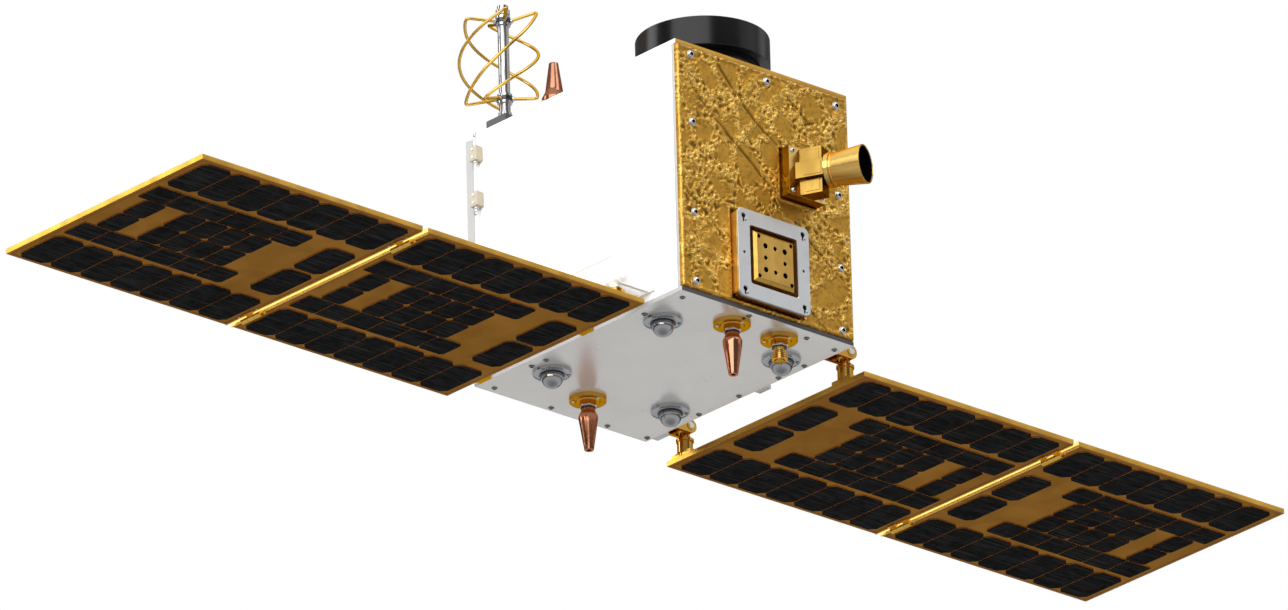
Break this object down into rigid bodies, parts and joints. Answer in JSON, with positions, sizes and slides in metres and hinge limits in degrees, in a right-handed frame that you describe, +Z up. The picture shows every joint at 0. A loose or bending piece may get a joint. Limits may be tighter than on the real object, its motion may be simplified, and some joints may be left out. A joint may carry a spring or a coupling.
{
  "type": "small observation satellite",
  "caption": "Box-shaped small satellite with gold front face, telescope hood, star tracker, patch and helix antennas, and folding solar wings on hinged posts.",
  "frame": {"origin": "centre of the base plate's lower face", "axes": "+X along the right solar wing, -Y out of the gold instrument face, +Z up through the telescope end"},
  "size_m": [1.534, 0.4221, 0.491],
  "materials": {
    "base_metal": "satin light grey machined plate",
    "white_wall": "matt white thermal paint",
    "wall_metal": "bare sheet behind the blankets",
    "gold_blanket": "crinkled gold film, quilted",
    "avionics": "closed dark block",
    "chrome": "polished",
    "polished_gold": "gold anodised, semi-polished",
    "copper": "turned copper alloy",
    "black_anodised": "black anodised, satin",
    "lens_glass": "coated optical glass",
    "aluminium_frame": "milled, satin",
    "mast_metal": "turned grey metal",
    "clamp_white": "off-white moulded clamp",
    "gold_wire": "gold plated wire",
    "panel_gold": "amber film over honeycomb with polished gold edges",
    "solar_cell": "near-black cells under cover glass",
    "hinge_steel": "small steel hinge"
  },
  "bodies": {
    "bus": {"base_plate": "base_metal", "top_plate": "base_metal", "front_panel": "wall_metal", "back_panel": "wall_metal", "left_panel": "white_wall", "right_panel": "white_wall", "front_blanket": "gold_blanket", "back_blanket": "gold_blanket", "avionics_block": "avionics", "separation_feet": "chrome", "thruster_flanges": "polished_gold", "copper_nozzles": "copper", "gold_nozzle": "polished_gold", "telescope_barrel": "black_anodised", "telescope_hood": "black_anodised", "telescope_lens": "lens_glass", "tracker_plate": "polished_gold", "tracker_housing": "polished_gold", "tracker_baffle": "polished_gold", "tracker_lens": "lens_glass", "patch_seat": "polished_gold", "patch_frame": "aluminium_frame", "patch_plate": "polished_gold", "helix_foot": "mast_metal", "helix_mast": "mast_metal", "helix_wires": "gold_wire", "top_nozzle_flange": "polished_gold", "top_nozzle": "copper", "whip_clamps": "clamp_white", "whip_rod": "mast_metal", "side_lugs": "polished_gold", "right_root_brackets": "polished_gold", "left_root_brackets": "polished_gold"},
    "right_inner_wing": {"right_root_posts": "polished_gold", "right_inner_panel": "panel_gold", "right_inner_cells": "solar_cell", "right_fold_leaves": "hinge_steel"},
    "right_outer_wing": {"right_outer_panel": "panel_gold", "right_outer_cells": "solar_cell", "right_fold_knuckles": "hinge_steel"},
    "left_inner_wing": {"left_root_posts": "polished_gold", "left_inner_panel": "panel_gold", "left_inner_cells": "solar_cell", "left_fold_leaves": "hinge_steel"},
    "left_outer_wing": {"left_outer_panel": "panel_gold", "left_outer_cells": "solar_cell", "left_fold_knuckles": "hinge_steel"}
  },
  "joints": [
    {"name": "right_root_hinge", "type": "hinge", "parent": "bus", "child": "right_inner_wing", "pos_m": [0.163, 0.021, 0.021], "axis": [0, -1, 0], "range_deg": [0, 90]},
    {"name": "right_fold_hinge", "type": "hinge", "parent": "right_inner_wing", "child": "right_outer_wing", "pos_m": [0.4615, 0.0135, -0.0214], "axis": [0, 1, 0], "range_deg": [0, 180]},
    {"name": "left_root_hinge", "type": "hinge", "parent": "bus", "child": "left_inner_wing", "pos_m": [-0.163, 0.021, 0.021], "axis": [0, 1, 0], "range_deg": [0, 90]},
    {"name": "left_fold_hinge", "type": "hinge", "parent": "left_inner_wing", "child": "left_outer_wing", "pos_m": [-0.4615, 0.0135, -0.0214], "axis": [0, -1, 0], "range_deg": [0, 180]}
  ]
}
